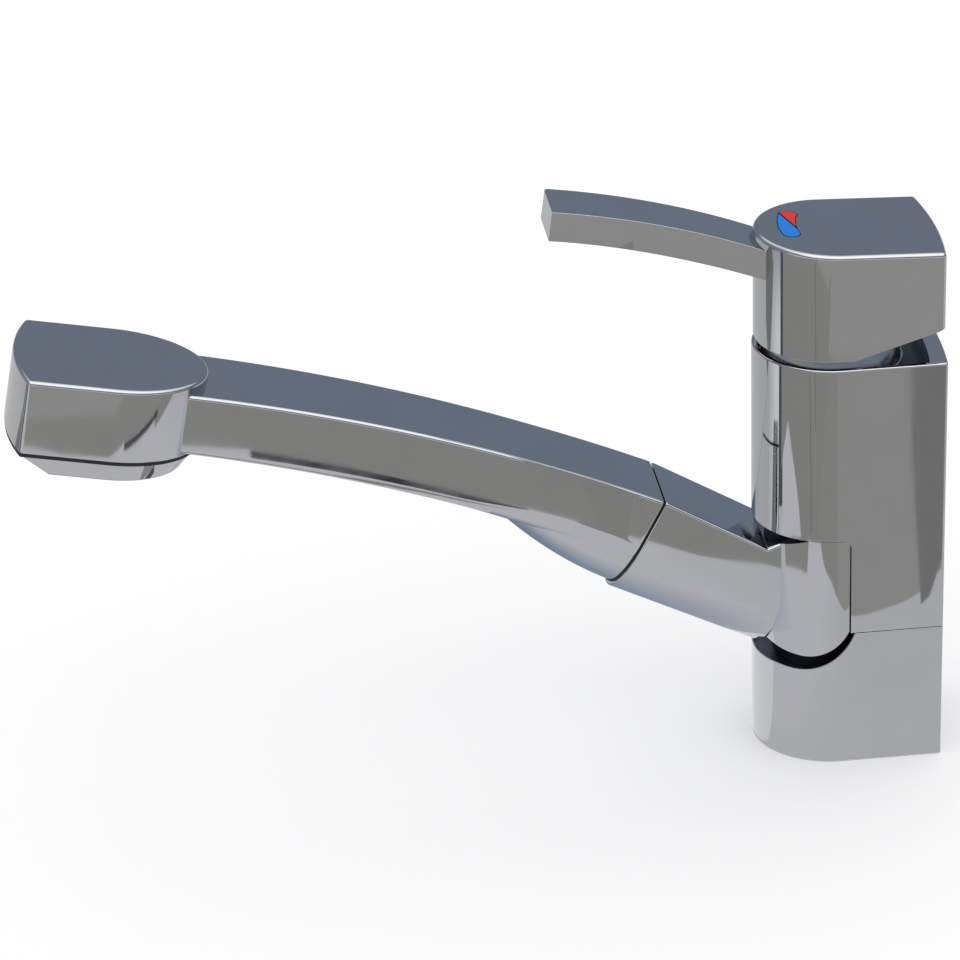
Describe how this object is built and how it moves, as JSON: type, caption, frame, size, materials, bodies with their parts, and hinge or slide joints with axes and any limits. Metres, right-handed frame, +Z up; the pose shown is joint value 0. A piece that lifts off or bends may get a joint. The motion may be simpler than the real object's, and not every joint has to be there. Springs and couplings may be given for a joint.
{
  "type": "pull-out kitchen mixer tap",
  "caption": "Single-lever kitchen mixer with a D-shaped column, a swivelling arm and a pull-out spray whose flat head sits on a gently curved bar.",
  "frame": {"origin": "vertical axis of the column (swivel and temperature axis) at the underside of the base, where it meets the worktop", "axes": "+Z up along the swivel axis, the spout points along -X, the column's square rear faces +X, -Y is the side the picture shows"},
  "size_m": [0.2837, 0.048, 0.1857],
  "materials": {
    "chrome_plate": "polished chromium plate",
    "raw_brass": "machined brass",
    "screw_steel": "stainless steel",
    "black_rubber": "matt rubber",
    "black_plastic": "moulded acetal",
    "grey_plastic": "moulded, satin",
    "white_plastic": "moulded acetal",
    "cartridge_plastic": "moulded",
    "ceramic": null,
    "red_enamel": "filled colour, glossy",
    "blue_enamel": "filled colour, glossy"
  },
  "bodies": {
    "column": {"base_casting": "chrome_plate", "upper_body": "chrome_plate", "base_gasket": "black_rubber", "body_screws": "screw_steel", "hose_guide": "white_plastic", "lower_glide_ring": "white_plastic", "upper_glide_ring": "white_plastic", "cartridge_base": "cartridge_plastic", "cartridge_seals": "black_rubber", "cartridge_housing": "cartridge_plastic", "fixed_disc": "ceramic", "cartridge_nut": "raw_brass", "dome_cover": "chrome_plate"},
    "swivel_arm": {"spout_holder": "chrome_plate", "dock_liner": "black_plastic"},
    "pullout_spray": {"spray_body": "chrome_plate", "docking_plug": "black_plastic", "check_valve": "white_plastic", "inlet_screen": "screw_steel", "water_tube": "white_plastic", "head_chamber": "grey_plastic", "head_gasket": "black_rubber", "head_cover": "chrome_plate", "cover_screws": "screw_steel", "aerator_housing": "chrome_plate", "aerator_core": "grey_plastic", "aerator_screen": "screw_steel", "aerator_seal": "black_rubber"},
    "temperature_rotor": {"cartridge_rotor": "white_plastic", "lever_pin": "screw_steel"},
    "lever_handle": {"handle": "chrome_plate", "lever_stem": "raw_brass", "handle_grub_screw": "screw_steel", "screw_hole_plug": "grey_plastic", "hot_mark": "red_enamel", "cold_mark": "blue_enamel"},
    "sliding_disc": {"disc_carrier": "white_plastic", "moving_disc": "ceramic"}
  },
  "joints": [
    {"name": "arm_swivel", "type": "hinge", "parent": "column", "child": "swivel_arm", "pos_m": [0, 0, 0.055], "axis": [0, 0, 1], "range_deg": [-40, 40]},
    {"name": "spray_pullout", "type": "slide", "parent": "swivel_arm", "child": "pullout_spray", "axis": [-0.8829, 0, 0.4695], "range_m": [0, 0.5]},
    {"name": "temperature_turn", "type": "hinge", "parent": "column", "child": "temperature_rotor", "pos_m": [0, 0, 0.125], "axis": [0, 0, 1], "range_deg": [-45, 45]},
    {"name": "lever_lift", "type": "hinge", "parent": "temperature_rotor", "child": "lever_handle", "pos_m": [0, 0, 0.125], "axis": [0, 1, 0], "range_deg": [0, 18]},
    {"name": "disc_slide", "type": "slide", "parent": "temperature_rotor", "child": "sliding_disc", "axis": [-1, 0, 0], "range_m": [0, 0.0047]}
  ],
  "couplings": [
    {"joint": "disc_slide", "follows": "lever_lift", "m_per_rad": 0.0145}
  ]
}
